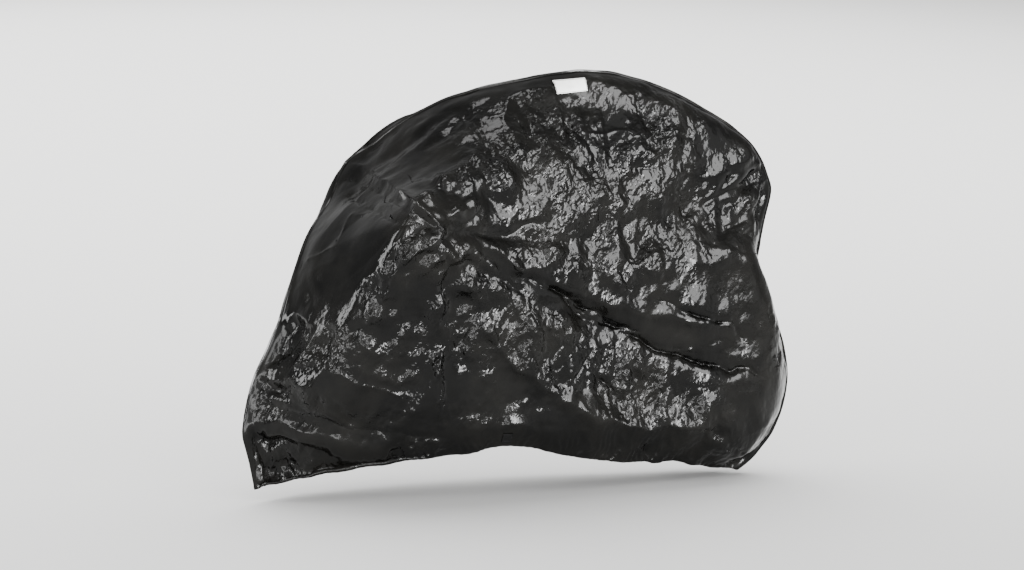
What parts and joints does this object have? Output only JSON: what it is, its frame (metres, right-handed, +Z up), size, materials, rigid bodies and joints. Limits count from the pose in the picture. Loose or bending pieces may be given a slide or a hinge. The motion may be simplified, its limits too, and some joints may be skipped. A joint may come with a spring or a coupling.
{
  "type": "bicycle cover",
  "caption": "Loose black film cover in its draped shape, with a welded seam over the top, a gathered hem open below, a small plain label and a hem tab",
  "frame": {"origin": "the place under the top that holds the cover up, about 5 mm below the film, where the saddle of what it covers would be", "axes": "+X points to the rear of what it covers, +Y to its right side, away from the label, and +Z up"},
  "size_m": [1.5437, 0.6508, 1.1253],
  "materials": {
    "film": "thin black film, glossy, crumpled all over, with sharp fold marks",
    "label": "satin white, bare, with a thin dark edge",
    "tape": "matt black woven tape"
  },
  "bodies": {
    "root": {"near_panel": "film", "far_panel": "film", "label": "label", "hem_tab": "tape"}
  },
  "joints": []
}
